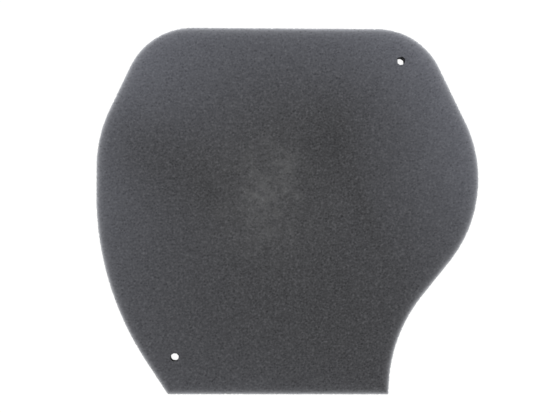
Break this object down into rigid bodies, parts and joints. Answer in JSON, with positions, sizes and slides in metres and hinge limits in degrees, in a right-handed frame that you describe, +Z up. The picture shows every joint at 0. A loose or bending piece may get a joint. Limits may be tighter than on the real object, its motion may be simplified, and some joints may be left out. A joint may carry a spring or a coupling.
{
  "type": "foam air filter element",
  "caption": "Flat die-cut sheet of open-cell foam that filters intake air, with locating holes that drop over pins in the air filter housing.",
  "frame": {"origin": "middle of the sheet's bounding box, on the underside that it rests on", "axes": "+Z up through the thickness, +X along the length towards the bulged side, +Y towards the long straight back edge between the two rounded corners"},
  "size_m": [0.209, 0.2, 0.01],
  "materials": {
    "filter_foam": "matt dark grey reticulated open-cell polyurethane foam"
  },
  "bodies": {
    "root": {"foam_element": "filter_foam"}
  },
  "joints": []
}
